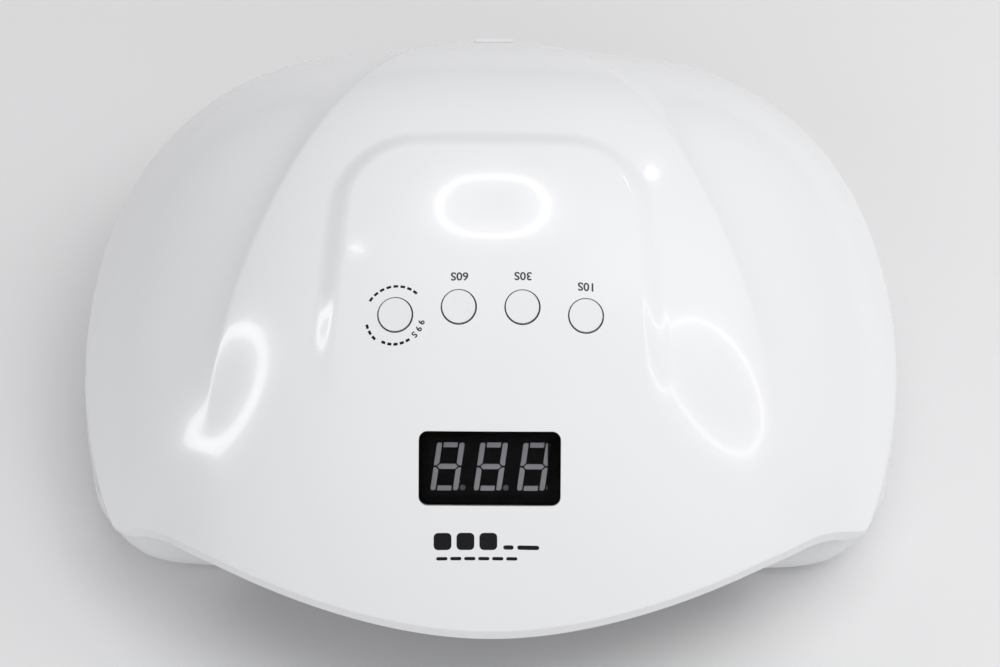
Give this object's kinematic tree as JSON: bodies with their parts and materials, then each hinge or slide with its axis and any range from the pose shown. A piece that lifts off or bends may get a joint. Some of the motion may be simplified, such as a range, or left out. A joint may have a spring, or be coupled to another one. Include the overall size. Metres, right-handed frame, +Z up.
{
  "type": "nail curing lamp",
  "caption": "Domed white tabletop lamp that cures nail gel, with a hand opening under the front lip, time keys, a digit display and a slide-out tray.",
  "frame": {"origin": "centre of the footprint's bounding box, on the plane that the four feet stand on", "axes": "+X to the right of a user who faces the opening, -Y out of the hand opening towards the user, +Z up"},
  "size_m": [0.2578, 0.221, 0.1071],
  "materials": {
    "gloss_white": "gloss",
    "base_white": "satin",
    "reflector_silver": "mirror-like",
    "tray_steel": "powder coated",
    "bare_steel": "plated",
    "magnet_nickel": "plated",
    "rubber_grey": "matte",
    "smoked_window": "gloss",
    "black_film": "matte",
    "segment_grey": "satin",
    "point_grey": "satin",
    "module_grey": "matte",
    "key_white": "satin",
    "plunger_black": "matte",
    "switch_dark": "matte",
    "board_green": "satin",
    "board_white": "satin",
    "chip_black": "matte",
    "header_cream": "satin",
    "capacitor_dark": "satin",
    "socket_black": "satin",
    "lead_red": "satin",
    "lead_grey": "satin",
    "lens_clear": "clear",
    "package_cream": "satin",
    "sensor_dark": "gloss"
  },
  "bodies": {
    "lamp_body": {"top_cover": "gloss_white", "lower_housing": "base_white", "reflector": "reflector_silver", "inlet_bezel": "base_white", "power_inlet": "socket_black", "inlet_pin": "bare_steel", "inlet_tags": "bare_steel", "inlet_leads": "lead_red", "display_window": "smoked_window", "display_mask": "black_film", "display_segments": "segment_grey", "display_points": "point_grey", "display_module": "module_grey", "display_board": "board_green", "display_lead": "lead_grey", "key_board": "board_green", "tact_switches": "switch_dark", "controller_chip": "chip_black", "buzzer": "chip_black", "lead_headers": "header_cream", "board_screws": "bare_steel", "power_board": "board_green", "power_standoffs": "base_white", "power_screws": "bare_steel", "power_capacitor": "capacitor_dark", "power_transistors": "chip_black", "supply_lead": "lead_grey", "case_screws": "bare_steel", "reflector_screws": "bare_steel", "rubber_feet": "rubber_grey", "tray_magnets": "magnet_nickel", "emitter_lenses": "lens_clear", "emitter_packages": "package_cream", "emitter_boards": "board_white", "sensor_window": "sensor_dark", "sensor_emitter": "lens_clear", "sensor_receiver": "sensor_dark", "sensor_board": "board_green"},
    "tray": {"base_tray": "tray_steel"},
    "key_99s": {"key_cap_99s": "key_white", "key_plunger_99s": "plunger_black"},
    "key_60s": {"key_cap_60s": "key_white", "key_plunger_60s": "plunger_black"},
    "key_30s": {"key_cap_30s": "key_white", "key_plunger_30s": "plunger_black"},
    "key_10s": {"key_cap_10s": "key_white", "key_plunger_10s": "plunger_black"}
  },
  "joints": [
    {"name": "tray_slide", "type": "slide", "parent": "lamp_body", "child": "tray", "axis": [0, -1, 0], "range_m": [0, 0.14]},
    {"name": "key_99s_press", "type": "slide", "parent": "lamp_body", "child": "key_99s", "axis": [0, 0.4088, -0.9126], "range_m": [0, 0.0006], "stiffness_N_per_m": 1500},
    {"name": "key_60s_press", "type": "slide", "parent": "lamp_body", "child": "key_60s", "axis": [0, 0.4088, -0.9126], "range_m": [0, 0.0006], "stiffness_N_per_m": 1500},
    {"name": "key_30s_press", "type": "slide", "parent": "lamp_body", "child": "key_30s", "axis": [0, 0.4088, -0.9126], "range_m": [0, 0.0006], "stiffness_N_per_m": 1500},
    {"name": "key_10s_press", "type": "slide", "parent": "lamp_body", "child": "key_10s", "axis": [0, 0.4088, -0.9126], "range_m": [0, 0.0006], "stiffness_N_per_m": 1500}
  ]
}
